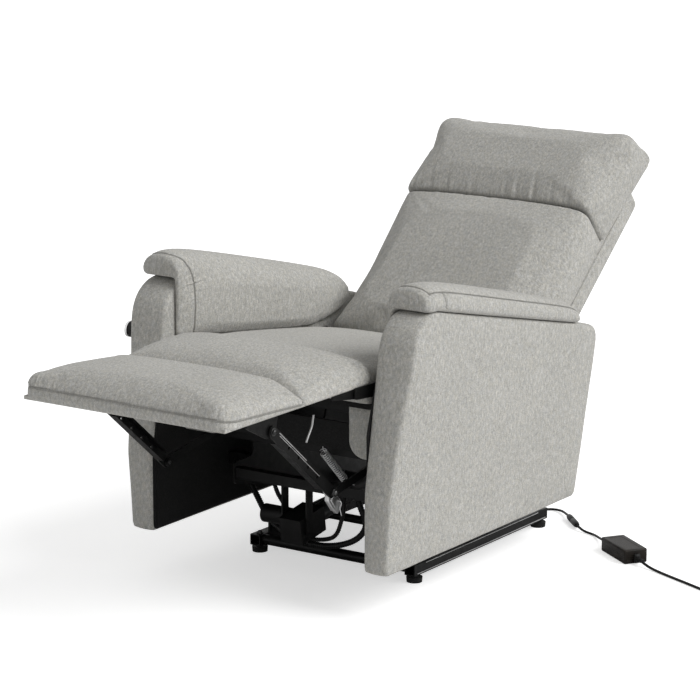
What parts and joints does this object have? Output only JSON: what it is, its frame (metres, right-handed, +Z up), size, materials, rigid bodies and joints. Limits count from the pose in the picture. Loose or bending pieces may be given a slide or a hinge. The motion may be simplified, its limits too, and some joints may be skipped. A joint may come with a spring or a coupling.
{
  "type": "lift recliner chair",
  "caption": "Upholstered power lift recliner chair, reclined with its leg rest out, on a steel lift base with an external power adapter.",
  "frame": {"origin": "on the floor, midway between the arms and midway between the leg rest's toe edge and the headrest's top in the stored reclined pose", "axes": "+Z up, -Y towards the sitter's feet (the front), +X towards the sitter's left arm"},
  "size_m": [1.318, 1.7666, 0.904],
  "materials": {
    "upholstery_fabric": "warm light grey heather weave, matt",
    "black_lining": "black non-woven dust cloth",
    "black_steel": "black powder coat, semi-gloss",
    "dark_steel": "dark blued steel",
    "zinc_steel": "zinc plated",
    "plywood": "bare plywood and softwood",
    "black_plastic": "black moulded plastic",
    "chrome": "bright chrome",
    "cable_jacket": "black PVC cable jacket"
  },
  "bodies": {
    "base": {"base_rail_right": "black_steel", "base_rail_left": "black_steel", "base_cross_front": "black_steel", "base_cross_rear": "black_steel", "base_feet": "black_plastic", "base_pivot_pins": "zinc_steel", "cord_clip": "black_plastic", "dc_lead": "cable_jacket", "inline_connector": "black_plastic", "adapter_lead": "cable_jacket", "power_adapter": "black_plastic", "mains_lead": "cable_jacket", "mains_coil": "cable_jacket", "mains_plug": "black_plastic"},
    "rear_links": {"rear_lift_links": "black_steel"},
    "chassis": {"chassis_plate_right": "black_steel", "chassis_plate_left": "black_steel", "chassis_cross_tube": "black_steel", "lift_pivot_pins": "zinc_steel", "actuator_motor": "black_plastic", "actuator_tube": "dark_steel", "arm_brackets": "black_steel", "seat_rails": "black_steel", "seat_deck": "plywood", "seat_cushion": "upholstery_fabric", "side_plate_right": "black_steel", "side_plate_left": "black_steel", "front_apron": "upholstery_fabric", "front_panel": "black_lining", "rear_rail": "black_lining", "arm_panel_right": "upholstery_fabric", "arm_panel_left": "upholstery_fabric", "arm_lining_right": "black_lining", "arm_lining_left": "black_lining", "arm_pad_right": "upholstery_fabric", "arm_pad_left": "upholstery_fabric", "legrest_pivot_brackets": "black_steel", "wiring_loom": "cable_jacket", "control_housing": "black_plastic", "control_ring": "chrome"},
    "front_links": {"front_lift_links": "black_steel"},
    "rod": {"actuator_rod": "zinc_steel"},
    "legrest": {"legrest_brackets": "dark_steel", "legrest_board": "plywood", "legrest_toe_cushion": "upholstery_fabric", "legrest_calf_cushion": "upholstery_fabric"},
    "drive_links": {"drive_link_right": "dark_steel", "drive_link_left": "dark_steel", "drive_tube": "black_steel"},
    "thrust_links": {"thrust_link_right": "dark_steel", "thrust_link_left": "dark_steel"},
    "backrest": {"back_hinge_arms": "black_steel", "back_frame": "plywood", "back_shell": "upholstery_fabric", "back_cushion": "upholstery_fabric", "headrest_cushion": "upholstery_fabric"},
    "up_button": {"button_up": "black_plastic"},
    "down_button": {"button_down": "black_plastic"}
  },
  "joints": [
    {"name": "lift", "type": "hinge", "parent": "base", "child": "rear_links", "pos_m": [0, 0, 0.062], "axis": [1, 0, 0], "range_deg": [0, 43]},
    {"name": "chassis_tilt", "type": "hinge", "parent": "rear_links", "child": "chassis", "pos_m": [0, 0.389, 0.08], "axis": [1, 0, 0], "range_deg": [-23.01, 0.01]},
    {"name": "front_links_swing", "type": "hinge", "parent": "base", "child": "front_links", "pos_m": [0, -0.058, 0.06], "axis": [1, 0, 0], "range_deg": [-0.01, 48.51]},
    {"name": "rod_slide", "type": "slide", "parent": "chassis", "child": "rod", "axis": [0, 0.9873, 0.159], "range_m": [-0.05181, 0.00001]},
    {"name": "legrest_fold", "type": "hinge", "parent": "chassis", "child": "legrest", "pos_m": [0, -0.4, 0.513], "axis": [1, 0, 0], "range_deg": [0, 90]},
    {"name": "drive_links_swing", "type": "hinge", "parent": "chassis", "child": "drive_links", "pos_m": [0, -0.182, 0.332], "axis": [1, 0, 0], "range_deg": [-0.01, 90.01]},
    {"name": "thrust_links_swing", "type": "hinge", "parent": "drive_links", "child": "thrust_links", "pos_m": [0, -0.432, 0.292], "axis": [1, 0, 0], "range_deg": [-90.01, 0.01]},
    {"name": "back_recline", "type": "hinge", "parent": "chassis", "child": "backrest", "pos_m": [0, 0.262, 0.462], "axis": [1, 0, 0], "range_deg": [0, 36]},
    {"name": "up_button_press", "type": "slide", "parent": "chassis", "child": "up_button", "axis": [1, 0, 0], "range_m": [0, 0.0015], "stiffness_N_per_m": 600},
    {"name": "down_button_press", "type": "slide", "parent": "chassis", "child": "down_button", "axis": [1, 0, 0], "range_m": [0, 0.0015], "stiffness_N_per_m": 600}
  ],
  "couplings": [
    {"joint": "chassis_tilt", "follows": "lift", "ratio": -0.53488},
    {"joint": "front_links_swing", "follows": "lift", "ratio": 1.1279},
    {"joint": "rod_slide", "follows": "lift", "m_per_rad": -0.069021},
    {"joint": "drive_links_swing", "follows": "legrest_fold", "ratio": 1},
    {"joint": "thrust_links_swing", "follows": "legrest_fold", "ratio": -1}
  ]
}
